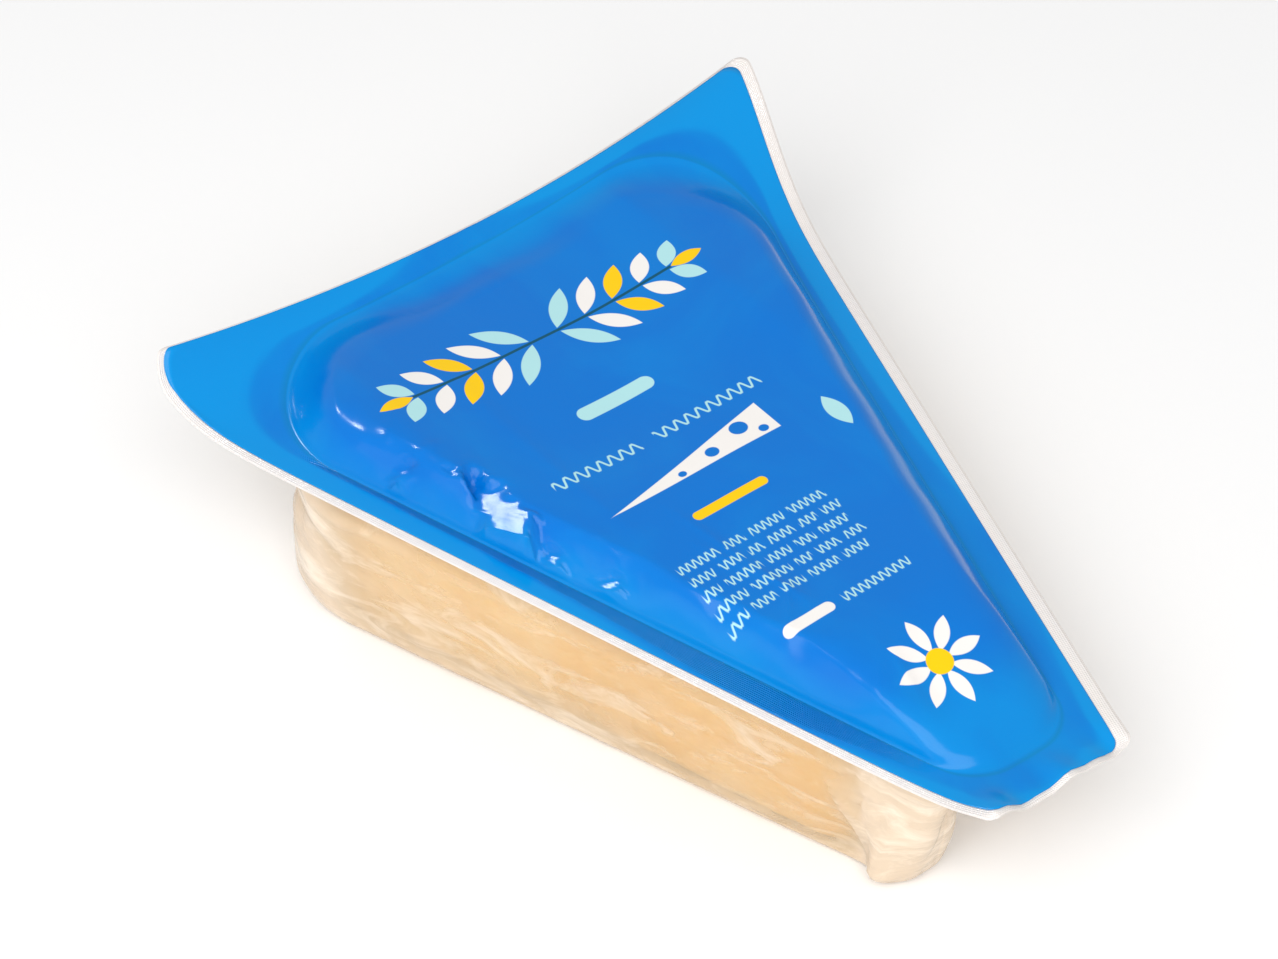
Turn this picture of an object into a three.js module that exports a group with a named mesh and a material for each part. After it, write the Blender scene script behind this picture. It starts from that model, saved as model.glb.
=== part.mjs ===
// A vacuum-packed cheese wedge: the block of cheese, the clear formed film under and around it,
// and the printed lid film sealed on top. Millimetres, +Z up, +X from the wide back to the narrow tip.
import * as THREE from 'three';

// The cheese: an eighth of a wheel with its point cut off.
const CHEESE_LENGTH = 156;        // from the back corners to the tip face
const CHEESE_BACK_WIDTH = 152;
const CHEESE_TIP_WIDTH = 18.5;
const CHEESE_HEIGHT = 49.3;
const NEAR_FACE_ANGLE = 19;       // degrees between the near cut face and the length
const RIND_BOW = 8;               // how far the rind swells out between the back corners
const CHEESE_CORNER_RADII = [26, 5, 5, 20];
const LEAST_RADIUS = 1.5;         // what a corner's radius shrinks to as its outline moves inwards
const FOOT_ROUND = 3.5;           // rounding where the walls meet the base
const WALL_START = 5;             // first stretch of upright wall above that rounding

// The shoulder of the cheese, between its walls and its top. It stays under the sealed edge of the
// films and then climbs. Widths run near side, tip, far side, back.
const SHOULDER_WIDTHS = [13, 24, 12, 10];
const WALL_TOP_DROP = 11;         // the upright walls stop this far below the seal
const WALL_BREAK_INSET = 1;       // the walls then lean in by this much, up to the pocket's neck
const EAVE_INSET = 2;             // least width of the eaves, which stay low where the seal doesn't reach
const EAVE_CLEARANCE = 0.8;       // the eaves lie this far under the formed film
const SHOULDER_BREAK = 0.55;      // share of the width where the slope eases off
const BREAK_CLIMB = 0.42;         // share of the climb from the seal to the top at that break
const BREAK_DROP = 2.2;           // the cheese lies this far below that climb, to clear the lid

// The films.
const FILM_GAUGE = 0.25;
const FIT_GAP = 0.3;              // air between films, and between a film and the cheese
const POCKET_TIP_SLACK = 9;       // empty pocket beyond the tip face
const POCKET_NECK_INSET = 0.4;    // the pocket draws in a little under the seal
const POCKET_NECK_DROP = 6.5;

// The lid: how far it reaches past the cheese on each side, at the tip's corner on the near side.
const LID_EDGE_ANGLE = 18;
const LID_NEAR_LEDGE = 2.9;
const LID_FAR_LEDGE = 3;
const LID_BACK_LEDGE = 20.5;
const LID_TIP_LEDGE = 28.5;
const LID_CORNER_RADII = [3.5, 2.5, 2.5, 3];

const LID_BREAK_CLIMB = 0.5;      // share of the lid's climb, above the break in the cheese's shoulder

// The heat seal: its width inside the lid's edge, and the clear strip left outside it.
// Each list runs near side, tip, far side, back.
const SEAL_WIDTHS = [6.3, 8.5, 6.6, 5];
const SEAL_CORNER_RADII = [27, 13, 13, 27];
const CLEAR_STRIPS = [2.2, 1.4, 3.3, 0.8];
const CLEAR_CORNER_RADII = [5, 3, 3, 3];

// Heights of the sealed edge below the top of the cheese, and the curl of the free corners above it.
const SEAL_DROP_BACK = 7;
const SEAL_DROP_TIP = 13.8;
const BACK_EDGE_RISE = 1.2;       // the middle of the back edge above the cheese
const NEAR_CORNER_CURL = 8.5;
const FAR_CORNER_CURL = 11;
const NEAR_CURL_REACH = 7.5;
const FAR_CURL_REACH = 26;
const CURL_BLEND = 0.7;           // share of the back edge over which one reach gives way to the other
const TIP_CORNER_CURL = 3.5;
const TIP_CURL_REACH = 8;

// Mesh fineness: steps round each corner and along each side, in the order of the lists above.
const CORNER_STEPS = [9, 4, 4, 9];
const SIDE_STEPS = [22, 4, 22, 14];

const CHEESE_BASE = FILM_GAUGE + FIT_GAP;
const CHEESE_TOP = CHEESE_BASE + CHEESE_HEIGHT;
const LID_TOP = CHEESE_TOP + FIT_GAP + FILM_GAUGE;
const LID_STEP = FIT_GAP + FILM_GAUGE;   // from the lid's top face to the clear film's top face
const faceSlope = Math.tan(THREE.MathUtils.degToRad(NEAR_FACE_ANGLE));
const lidSlope = Math.tan(THREE.MathUtils.degToRad(LID_EDGE_ANGLE));

const cheeseQuad = [
  [0, 0],
  [CHEESE_LENGTH, CHEESE_LENGTH * faceSlope],
  [CHEESE_LENGTH, CHEESE_LENGTH * faceSlope + CHEESE_TIP_WIDTH],
  [0, CHEESE_BACK_WIDTH],
];
const lidQuad = makeLidQuad();
const lidBackX = lidQuad[0][0];
const lidTipX = lidQuad[1][0];
const lidMiddleY = (lidQuad[0][1] + lidQuad[3][1]) / 2;
const lidBackHalf = (lidQuad[3][1] - lidQuad[0][1]) / 2;

// The lid's long edges lean inwards at the same angle. The near one passes the cheese's tip at its
// ledge, and the far one passes the far back corner.
function makeLidQuad() {
  const stretch = Math.hypot(1, lidSlope);
  const [tipX, tipY] = cheeseQuad[1];
  const near = (x) => tipY + (x - tipX) * lidSlope - LID_NEAR_LEDGE * stretch;
  const far = (x) => CHEESE_BACK_WIDTH - x * lidSlope + LID_FAR_LEDGE * stretch;
  const back = -LID_BACK_LEDGE;
  const tip = CHEESE_LENGTH + LID_TIP_LEDGE;
  return [[back, near(back)], [tip, near(tip)], [tip, far(tip)], [back, far(back)]];
}

// Where two lines cross, each given by a point and a direction.
function crossing([px, py], [dx, dy], [qx, qy], [ex, ey]) {
  const t = ((qx - px) * ey - (qy - py) * ex) / (dx * ey - dy * ex);
  return [px + dx * t, py + dy * t];
}

// A four-sided outline with each side moved inwards by its own amount.
function inset(quad, amounts) {
  const sides = quad.map(([x, y], i) => {
    const [nx, ny] = quad[(i + 1) % 4];
    const length = Math.hypot(nx - x, ny - y);
    const direction = [(nx - x) / length, (ny - y) / length];
    const start = [x - direction[1] * amounts[i], y + direction[0] * amounts[i]];
    return { start, direction };
  });
  return sides.map((side, i) => {
    const before = sides[(i + 3) % 4];
    return crossing(before.start, before.direction, side.start, side.direction);
  });
}

const evenly = (amount) => [amount, amount, amount, amount];
const shoulderInset = (share) => SHOULDER_WIDTHS.map((width) => width * share);

// The points of an outline with rounded corners. The back side can bow outwards, and the corners at
// its ends turn to meet it.
function outline(quad, radii, bow = 0) {
  const lean = Math.atan((4 * bow) / (quad[3][1] - quad[0][1]));
  const arcs = quad.map((corner, i) => {
    const before = leaning(corner, quad[(i + 3) % 4], i === 0 ? -lean : 0);
    const after = leaning(corner, quad[(i + 1) % 4], i === 3 ? lean : 0);
    return roundedCorner(before, corner, after, radii[i], CORNER_STEPS[i]);
  });
  const points = [];
  arcs.forEach((arc, i) => {
    points.push(...arc);
    const [ax, ay] = arc[arc.length - 1];
    const [bx, by] = arcs[(i + 1) % 4][0];
    for (let step = 1; step < SIDE_STEPS[i]; step += 1) {
      const t = step / SIDE_STEPS[i];
      const swell = i === 3 ? Math.tan(lean) * (ay - by) * t * (1 - t) : 0;
      points.push([ax + (bx - ax) * t - swell, ay + (by - ay) * t]);
    }
  });
  return points;
}

// The direction from a corner to its neighbour, turned by an angle.
function leaning(corner, neighbour, angle) {
  const direction = new THREE.Vector2(neighbour[0] - corner[0], neighbour[1] - corner[1]).normalize();
  return direction.rotateAround(new THREE.Vector2(), -angle);
}

function roundedCorner(back, corner, ahead, radius, steps) {
  const half = Math.acos(THREE.MathUtils.clamp(back.dot(ahead), -1, 1)) / 2;
  const inwards = back.clone().add(ahead).normalize();
  const middle = new THREE.Vector2(...corner).addScaledVector(inwards, radius / Math.sin(half));
  const points = [];
  for (let step = 0; step <= steps; step += 1) {
    const turn = (step / steps - 0.5) * (Math.PI - 2 * half);
    const out = inwards.clone().multiplyScalar(-radius).rotateAround(new THREE.Vector2(), turn);
    points.push([middle.x + out.x, middle.y + out.y]);
  }
  return points;
}

// Height of the seal along the long sides, falling towards the tip.
function sealHeight(x) {
  const t = (x - lidBackX) / (lidTipX - lidBackX);
  return LID_TOP - THREE.MathUtils.lerp(SEAL_DROP_BACK, SEAL_DROP_TIP, t);
}

// Height of the lid's edge anywhere round it: the seal height, with the back edge and corners curled up.
function edgeHeight(x, y) {
  const across = (y - lidMiddleY) / lidBackHalf;
  const curl = across < 0 ? NEAR_CORNER_CURL : FAR_CORNER_CURL;
  const backEdge = LID_TOP + BACK_EDGE_RISE + curl * across * across;
  const fromBack = Math.max(0, x - lidBackX);
  const nearFade = Math.exp(-fromBack / NEAR_CURL_REACH);
  const farFade = Math.exp(-((fromBack / FAR_CURL_REACH) ** 2));
  const toFar = THREE.MathUtils.smoothstep(across, -CURL_BLEND, CURL_BLEND);
  const fade = THREE.MathUtils.lerp(nearFade, farFade, toFar);
  const side = sealHeight(x);
  const tipCorner = Math.hypot(x - lidQuad[1][0], y - lidQuad[1][1]);
  const tipCurl = TIP_CORNER_CURL * Math.exp(-tipCorner / TIP_CURL_REACH);
  return side + (backEdge - sealHeight(lidBackX)) * fade + tipCurl;
}

// A ring of points at a height given by a function of the plan position.
const ringAt = (points, height) => points.map(([x, y]) => new THREE.Vector3(x, y, height(x, y)));
const level = (z) => () => z;

function middleOf(ring) {
  const middle = new THREE.Vector3();
  ring.forEach((point) => middle.add(point));
  return middle.divideScalar(ring.length);
}

// Triangles between rings in order, then a fan to a point in the middle of the last ring.
function skinIndex(ringCount, stations, start, flipped) {
  const index = [];
  const add = (a, b, c) => index.push(...(flipped ? [a, c, b] : [a, b, c]).map((i) => i + start));
  for (let ring = 0; ring < ringCount - 1; ring += 1) {
    for (let i = 0; i < stations; i += 1) {
      const next = (i + 1) % stations;
      const low = ring * stations;
      const high = low + stations;
      add(low + i, low + next, high + next);
      add(low + i, high + next, high + i);
    }
  }
  const last = (ringCount - 1) * stations;
  for (let i = 0; i < stations; i += 1) add(last + i, last + ((i + 1) % stations), ringCount * stations);
  return index;
}

function geometryOf(points, index) {
  const geometry = new THREE.BufferGeometry().setFromPoints(points);
  geometry.setIndex(index);
  geometry.computeVertexNormals();
  return geometry;
}

// A solid between the fans that close its first and last rings.
function solidBody(rings) {
  const stations = rings[0].length;
  const points = [...rings.flat(), middleOf(rings[rings.length - 1]), middleOf(rings[0])];
  const index = skinIndex(rings.length, stations, 0, false);
  const foot = points.length - 1;
  for (let i = 0; i < stations; i += 1) index.push((i + 1) % stations, i, foot);
  return geometryOf(points, index);
}

// A film: the skin through the rings, and a second one behind it at the film's gauge, joined at the rim.
// The first rings lie across the heat seal, where both films are measured straight down.
function film(rings, sealedRings, facesDown) {
  const stations = rings[0].length;
  const front = [...rings.flat(), middleOf(rings[rings.length - 1])];
  const frontIndex = skinIndex(rings.length, stations, 0, facesDown);
  const normals = geometryOf(front, frontIndex).getAttribute('normal');
  const upright = new THREE.Vector3(0, 0, facesDown ? -1 : 1);
  const behind = front.map((point, i) => {
    const normal = new THREE.Vector3().fromBufferAttribute(normals, i);
    return point.clone().addScaledVector(i < sealedRings * stations ? upright : normal, -FILM_GAUGE);
  });
  const index = [...frontIndex, ...skinIndex(rings.length, stations, front.length, !facesDown)];
  for (let i = 0; i < stations; i += 1) {
    const next = (i + 1) % stations;
    const rim = [i, i + front.length, next + front.length, i, next + front.length, next];
    index.push(...(facesDown ? rim.reverse() : rim));
  }
  return geometryOf([...front, ...behind], index);
}

// The foot of the cheese's wall, as [inset, height above the base]: a round, and the wall starting up.
const ROUND_MIDDLE = FOOT_ROUND * (1 - Math.SQRT1_2);
const wallProfile = [
  [FOOT_ROUND, 0],
  [ROUND_MIDDLE, ROUND_MIDDLE],
  [0, FOOT_ROUND],
  [0, FOOT_ROUND + WALL_START],
];

const shrunkRadii = (radii, amount) => radii.map((radius) => Math.max(LEAST_RADIUS, radius - amount));

function cheeseOutline(amounts) {
  return outline(inset(cheeseQuad, amounts), shrunkRadii(CHEESE_CORNER_RADII, amounts[0]), RIND_BOW);
}

function cheeseGeometry() {
  const rings = wallProfile.map(([amount, z]) => (
    ringAt(cheeseOutline(evenly(amount)), level(CHEESE_BASE + z))));
  const eaveInsets = [
    SEAL_WIDTHS[0] + FIT_GAP,
    EAVE_INSET,
    Math.max(EAVE_INSET, SEAL_WIDTHS[2] - LID_FAR_LEDGE + FIT_GAP),
    EAVE_INSET,
  ];
  const shoulder = [
    [evenly(0), (x) => sealHeight(x) - WALL_TOP_DROP],
    [evenly(WALL_BREAK_INSET), (x) => sealHeight(x) - POCKET_NECK_DROP - FIT_GAP],
    [eaveInsets, (x) => sealHeight(x) - LID_STEP - FILM_GAUGE - EAVE_CLEARANCE],
    [shoulderInset(SHOULDER_BREAK), (x) => (
      THREE.MathUtils.lerp(sealHeight(x), CHEESE_TOP, BREAK_CLIMB) - BREAK_DROP)],
    [shoulderInset(1), level(CHEESE_TOP)],
  ];
  shoulder.forEach(([amounts, height]) => rings.push(ringAt(cheeseOutline(amounts), height)));
  return solidBody(rings);
}

// The pocket wall follows the cheese at the fit gap, with slack beyond the tip face.
function pocketOutline(amount) {
  const reach = amount - FIT_GAP - FILM_GAUGE;
  const quad = inset(cheeseQuad, [reach, amount - POCKET_TIP_SLACK, reach, reach]);
  return outline(quad, shrunkRadii(CHEESE_CORNER_RADII, reach), RIND_BOW);
}

// The rings that both films share across the heat seal, from the lid's edge to the seal's inside.
const SEAL_RINGS = 3;
function sealRings(height) {
  const edge = outline(lidQuad, LID_CORNER_RADII);
  const inside = outline(inset(lidQuad, SEAL_WIDTHS), SEAL_CORNER_RADII);
  const between = edge.map(([x, y], i) => [(x + inside[i][0]) / 2, (y + inside[i][1]) / 2]);
  return [edge, between, inside].map((points) => ringAt(points, height));
}

function bottomFilmGeometry() {
  const clearEdge = outline(inset(lidQuad, CLEAR_STRIPS.map((strip) => -strip)), CLEAR_CORNER_RADII);
  const flange = (x, y) => edgeHeight(x, y) - LID_STEP - FILM_GAUGE;
  const rings = [
    ringAt(clearEdge, flange),
    ...sealRings(flange),
    ringAt(pocketOutline(POCKET_NECK_INSET), (x) => sealHeight(x) - POCKET_NECK_DROP),
    ringAt(pocketOutline(0), (x) => sealHeight(x) - WALL_TOP_DROP),
  ];
  [...wallProfile].reverse().forEach(([amount, z], i) => {
    const under = i === wallProfile.length - 1 ? 0 : FIT_GAP;
    rings.push(ringAt(pocketOutline(amount), level(z + under)));
  });
  return film(rings, 1 + SEAL_RINGS, true);
}

function topFilmGeometry() {
  const climb = (amount) => (x, y) => THREE.MathUtils.lerp(edgeHeight(x, y), LID_TOP, amount);
  const rings = [
    ...sealRings(edgeHeight),
    ringAt(cheeseOutline(shoulderInset(SHOULDER_BREAK)), climb(LID_BREAK_CLIMB)),
    ringAt(cheeseOutline(shoulderInset(1)), climb(1)),
  ];
  return film(rings, SEAL_RINGS, false);
}

function piece(name, geometry, finish) {
  const mesh = new THREE.Mesh(geometry, new THREE.MeshStandardMaterial(finish));
  mesh.name = name;
  return mesh;
}

const pack = new THREE.Group();
pack.add(piece('cheese_wedge', cheeseGeometry(), { color: '#efd7a0', roughness: 0.5, metalness: 0 }));
pack.add(piece('bottom_film', bottomFilmGeometry(),
  { color: '#f1e6e0', roughness: 0.15, metalness: 0, transparent: true, opacity: 0.3 }));
pack.add(piece('top_film', topFilmGeometry(), { color: '#0a86d8', roughness: 0.2, metalness: 0 }));

// The whole object stands centred on the origin.
const middle = new THREE.Box3().setFromObject(pack, true).getCenter(new THREE.Vector3());
pack.position.set(-middle.x, -middle.y, 0);

export default pack;
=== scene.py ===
"""A vacuum-packed wedge of hard cheese: the cheese, the clear formed film round it, and its printed lid."""

import math

import bpy
import numpy as np
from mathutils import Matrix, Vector
from mathutils.bvhtree import BVHTree


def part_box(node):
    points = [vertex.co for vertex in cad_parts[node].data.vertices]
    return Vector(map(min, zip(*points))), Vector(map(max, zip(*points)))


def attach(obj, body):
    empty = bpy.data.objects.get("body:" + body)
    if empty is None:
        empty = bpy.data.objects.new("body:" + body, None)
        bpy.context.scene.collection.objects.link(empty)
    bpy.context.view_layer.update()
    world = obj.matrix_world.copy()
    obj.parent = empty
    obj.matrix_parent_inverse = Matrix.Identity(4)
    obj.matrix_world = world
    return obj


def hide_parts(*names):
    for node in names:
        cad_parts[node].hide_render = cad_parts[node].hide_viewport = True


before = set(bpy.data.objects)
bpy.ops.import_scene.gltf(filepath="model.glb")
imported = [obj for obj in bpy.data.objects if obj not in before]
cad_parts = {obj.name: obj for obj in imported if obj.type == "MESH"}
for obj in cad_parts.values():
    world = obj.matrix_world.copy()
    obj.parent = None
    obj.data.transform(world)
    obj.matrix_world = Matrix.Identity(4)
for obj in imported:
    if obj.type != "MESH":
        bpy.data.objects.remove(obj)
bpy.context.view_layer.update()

MM = 0.001

# Plan of the pack in millimetres, from the back corner of the cheese's near face.
CHEESE_LENGTH = 156
CHEESE_BACK_WIDTH = 152
CHEESE_TIP_WIDTH = 18.5
NEAR_FACE_ANGLE = 19
LID_EDGE_ANGLE = 18
LID_BACK_LEDGE = 20.5
LID_TIP_LEDGE = 28.5
LID_NEAR_LEDGE = 2.9
LID_FAR_LEDGE = 3
RIND_BOW = 8
POCKET_TIP_SLACK = 9
LEAST_RADIUS = 1.5
FIT = 0.55                 # from the cheese to the outside of the formed film

# Lists run near side, tip, far side, back; radii run near back, near tip, far tip, far back.
SEAL_WIDTHS = [6.3, 8.5, 6.6, 5]
CLEAR_STRIPS = [2.2, 1.4, 3.3, 0.8]
CREST_WIDTHS = [14.5, 52, 17, 20]
CHEESE_RADII = [26, 5, 5, 20]
LID_RADII = [3.5, 2.5, 2.5, 3]
SEAL_RADII = [27, 13, 13, 27]
CLEAR_RADII = [5, 3, 3, 3]
CREST_RADII = [22, 10, 10, 22]

PRINT_AXIS = -6.6          # the line down the middle of the lid's print, in the row's Y

# Heights of the sealed edge, from the top of the lid.
SEAL_DROP_BACK = 7
SEAL_DROP_TIP = 13.8
BACK_EDGE_RISE = 1.2
NEAR_CORNER_CURL = 8.5
FAR_CORNER_CURL = 11
NEAR_CURL_REACH = 7.5
FAR_CURL_REACH = 26
TIP_CORNER_CURL = 3.5
TIP_CURL_REACH = 8

FILM_GAUGE = 0.12
FILM_STEP = 0.42           # from the lid's upper face to the formed film's, down through the seal
FINENESS = 4               # stations for each step round the outlines
CORNER_STEPS = [9, 4, 4, 9]
SIDE_STEPS = [22, 4, 22, 14]
STATIONS = FINENESS * (sum(CORNER_STEPS) + sum(SIDE_STEPS))


def in_mm(corner):
    return np.array(corner, float) / MM


lid_low, lid_high = (in_mm(corner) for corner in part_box("top_film"))
LID_TOP = in_mm(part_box("cheese_wedge")[1])[2] + FIT


# ---------------------------------------------------------------- plan outlines


def crossing(p, d, q, e):
    """Where the line from p along d meets the line from q along e."""
    t = ((q[0] - p[0]) * e[1] - (q[1] - p[1]) * e[0]) / (d[0] * e[1] - d[1] * e[0])
    return p + d * t


def inset(quad, amounts):
    """A four-sided outline with each side moved inwards by its own amount."""
    sides = []
    for i, amount in enumerate(amounts):
        along = quad[(i + 1) % 4] - quad[i]
        along = along / np.linalg.norm(along)
        sides.append((quad[i] + amount * np.array([-along[1], along[0]]), along))
    return np.array([crossing(*sides[i - 1], *sides[i]) for i in range(4)])


def turned(direction, angle):
    c, s = math.cos(angle), math.sin(angle)
    return np.array([c * direction[0] - s * direction[1], s * direction[0] + c * direction[1]])


def towards(start, end):
    return (end - start) / np.linalg.norm(end - start)


def rounded_corner(back, corner, ahead, radius, steps):
    half = math.acos(np.clip(back @ ahead, -1, 1)) / 2
    inwards = towards(np.zeros(2), back + ahead)
    middle = corner + inwards * radius / math.sin(half)
    turns = (np.arange(steps + 1) / steps - 0.5) * (math.pi - 2 * half)
    return [middle - radius * turned(inwards, turn) for turn in turns]


def outline(quad, radii, bow=0.0):
    """Points round a four-sided outline with rounded corners; its back side can bow outwards."""
    lean = math.atan(4 * bow / (quad[3][1] - quad[0][1]))
    arcs = []
    for i in range(4):
        back = turned(towards(quad[i], quad[i - 1]), lean if i == 0 else 0)
        ahead = turned(towards(quad[i], quad[(i + 1) % 4]), -lean if i == 3 else 0)
        arcs.append(rounded_corner(back, quad[i], ahead, radii[i], CORNER_STEPS[i] * FINENESS))
    points = []
    for i in range(4):
        points += arcs[i]
        start, end = arcs[i][-1], arcs[(i + 1) % 4][0]
        steps = SIDE_STEPS[i] * FINENESS
        for step in range(1, steps):
            t = step / steps
            point = start + (end - start) * t
            if i == 3:
                point = point - [math.tan(lean) * (start[1] - end[1]) * t * (1 - t), 0]
            points.append(point)
    return np.array(points)


def plan_corners():
    """The corners of the cheese and of the lid, in the row's own frame."""
    face = math.tan(math.radians(NEAR_FACE_ANGLE))
    edge = math.tan(math.radians(LID_EDGE_ANGLE))
    stretch = math.hypot(1, edge)
    tip_y = CHEESE_LENGTH * face
    cheese = np.array([[0, 0], [CHEESE_LENGTH, tip_y], [CHEESE_LENGTH, tip_y + CHEESE_TIP_WIDTH],
                       [0, CHEESE_BACK_WIDTH]], float)
    back, tip = -LID_BACK_LEDGE, CHEESE_LENGTH + LID_TIP_LEDGE

    def near(x):
        return tip_y + (x - CHEESE_LENGTH) * edge - LID_NEAR_LEDGE * stretch

    def far(x):
        return CHEESE_BACK_WIDTH - x * edge + LID_FAR_LEDGE * stretch

    lid = np.array([[back, near(back)], [tip, near(tip)], [tip, far(tip)], [back, far(back)]])
    rim = outline(lid, LID_RADII)
    shift = (lid_low[:2] + lid_high[:2]) / 2 - (rim.min(axis=0) + rim.max(axis=0)) / 2
    return cheese + shift, lid + shift


cheese_quad, lid_quad = plan_corners()
lid_back, lid_tip = lid_quad[0][0], lid_quad[1][0]
lid_middle = (lid_quad[0][1] + lid_quad[3][1]) / 2
lid_half = (lid_quad[3][1] - lid_quad[0][1]) / 2
near_along = towards(lid_quad[0], lid_quad[1])
near_inwards = np.array([-near_along[1], near_along[0]])


def shrunk(radii, amount):
    return [max(LEAST_RADIUS, radius - amount) for radius in radii]


def pocket_outline(amount, flare=0.0):
    """The formed film's outline, moved in by an amount, with its tip end flared outwards."""
    tip = amount - POCKET_TIP_SLACK - flare
    quad = inset(cheese_quad, [amount - FIT, tip, amount - FIT, amount - FIT])
    return outline(quad, shrunk(CHEESE_RADII, amount - FIT), RIND_BOW)


def along_near_edge(x, y):
    """Distance along the lid's near edge from its back corner, and inwards from that edge."""
    dx, dy = x - lid_quad[0][0], y - lid_quad[0][1]
    return dx * near_along[0] + dy * near_along[1], dx * near_inwards[0] + dy * near_inwards[1]


# ---------------------------------------------------------------- heights and wrinkles


def smooth(t):
    t = np.clip(t, 0, 1)
    return t * t * (3 - 2 * t)


def seal_height(x):
    t = (x - lid_back) / (lid_tip - lid_back)
    return LID_TOP - (SEAL_DROP_BACK + (SEAL_DROP_TIP - SEAL_DROP_BACK) * t)


def edge_height(x, y):
    """Height of the lid's edge: the seal height, with the back edge and the corners curled up."""
    across = (y - lid_middle) / lid_half
    curl = np.where(across < 0, NEAR_CORNER_CURL, FAR_CORNER_CURL)
    back_edge = LID_TOP + BACK_EDGE_RISE + curl * across ** 2
    from_back = np.maximum(0, x - lid_back)
    near_fade = np.exp(-from_back / NEAR_CURL_REACH)
    far_fade = np.exp(-(from_back / FAR_CURL_REACH) ** 2)
    fade = near_fade + (far_fade - near_fade) * smooth((across + 0.7) / 1.4)
    corner = np.hypot(x - lid_quad[1][0], y - lid_quad[1][1])
    tip_curl = TIP_CORNER_CURL * np.exp(-corner / TIP_CURL_REACH)
    return seal_height(x) + (back_edge - seal_height(lid_back)) * fade + tip_curl


def ripples(seed, wavelength, count=8):
    """A smooth random undulation over the plan, about -1 to 1, the same on every run."""
    rng = np.random.default_rng(seed)
    waves = [(rng.uniform(0, math.tau), rng.uniform(0, math.tau), wavelength * rng.uniform(0.7, 1.6))
             for _ in range(count)]

    def height(x, y):
        total = 0
        for angle, phase, length in waves:
            total = total + np.sin((x * math.cos(angle) + y * math.sin(angle)) * math.tau / length + phase)
        return total / math.sqrt(count)

    return height


def folds(seed, wavelength, count=8):
    """A crumple of sharp ridges and soft hollows, about 0 to 1."""
    one, two = ripples(seed, wavelength, count), ripples(seed + 1, wavelength * 1.3, count)
    return lambda x, y: 1 - np.minimum(np.abs(one(x, y)), np.abs(two(x, y)))


def crease(x, y, start, end, height, width):
    """A fold line: sharp along the segment, and falling away over the width."""
    start, end = np.array(start, float), np.array(end, float)
    along = end - start
    t = np.clip(((x - start[0]) * along[0] + (y - start[1]) * along[1]) / (along @ along), 0, 1)
    distance = np.hypot(x - start[0] - along[0] * t, y - start[1] - along[1] * t)
    fade = np.sin(np.clip(t, 0.02, 0.98) * math.pi) ** 0.5
    return height * fade * np.exp(-distance / width)


def dent(x, y, middle, reach, depth):
    return -depth * np.exp(-(((x - middle[0]) / reach[0]) ** 2 + ((y - middle[1]) / reach[1]) ** 2))


# ---------------------------------------------------------------- making and finishing pieces


def pick_only(piece):
    bpy.ops.object.select_all(action="DESELECT")
    piece.select_set(True)
    bpy.context.view_layer.objects.active = piece


def in_edit_mode(piece, work):
    pick_only(piece)
    bpy.ops.object.mode_set(mode="EDIT")
    bpy.ops.mesh.select_all(action="SELECT")
    work()
    bpy.ops.object.mode_set(mode="OBJECT")


def modify(piece, kind, **settings):
    """Adds one modifier and applies it."""
    pick_only(piece)
    modifier = piece.modifiers.new(kind.lower(), kind)
    for name, value in settings.items():
        setattr(modifier, name, value)
    bpy.ops.object.modifier_apply(modifier=modifier.name)


def coordinates(piece):
    flat = np.empty(len(piece.data.vertices) * 3)
    piece.data.vertices.foreach_get("co", flat)
    return flat.reshape(-1, 3)


def place(piece, points):
    piece.data.vertices.foreach_set("co", points.ravel())
    piece.data.update()


def mark(piece, name, values):
    """Stores one number for each vertex, for the finish to read."""
    attribute = piece.data.attributes.new(name, "FLOAT", "POINT")
    attribute.data.foreach_set("value", np.clip(values, 0, 1).astype(np.float32))


def rolled_sheet(name, rings, marks, depth):
    """A film: a flat grid rolled round into rings, with its seam and its middle welded.

    rings holds the rings' points in millimetres, marks holds numbers for the finish by name, and depth
    is each point's distance in from the film's edge, which with the way round makes the UV map.
    """
    count, stations = rings.shape[:2]
    bpy.ops.object.select_all(action="DESELECT")
    bpy.ops.mesh.primitive_grid_add(x_subdivisions=stations, y_subdivisions=count - 1, size=2)
    piece = bpy.context.object
    piece.name = name
    piece.data.name = name
    flat = coordinates(piece)
    station = np.rint((flat[:, 0] + 1) / 2 * stations).astype(int)
    ring = np.rint((flat[:, 1] + 1) / 2 * (count - 1)).astype(int)
    place(piece, rings[ring, station % stations] * MM)
    for mark_name, values in marks.items():
        mark(piece, mark_name, values[ring, station % stations])
    rim = rings[0]
    steps = np.linalg.norm(np.roll(rim, -1, axis=0) - rim, axis=1)
    way_round = np.concatenate([[0], np.cumsum(steps)])
    corner_vertex = np.empty(len(piece.data.loops), int)
    piece.data.loops.foreach_get("vertex_index", corner_vertex)
    uv = np.stack([way_round[station], depth[ring, station % stations]], axis=1)[corner_vertex] * MM
    piece.data.uv_layers[0].name = "Way"
    piece.data.uv_layers["Way"].data.foreach_set("uv", uv.ravel())
    in_edit_mode(piece, lambda: bpy.ops.mesh.remove_doubles(threshold=1e-6))
    return piece


def finished(piece, slot, material, *nodes):
    """Shades a piece smooth, gives it its material, and ties it to the frame."""
    piece.data.materials.clear()
    piece.data.materials.append(material)
    pick_only(piece)
    bpy.ops.object.shade_smooth()
    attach(piece, "root")
    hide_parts(*nodes)


SPINE = ([-62.0, -6.0], [30.0, -14.0])
SPINE_STEPS = 26


def blend_rings(start, end, amounts):
    return np.array([start + (end - start) * amount for amount in amounts])


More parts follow.
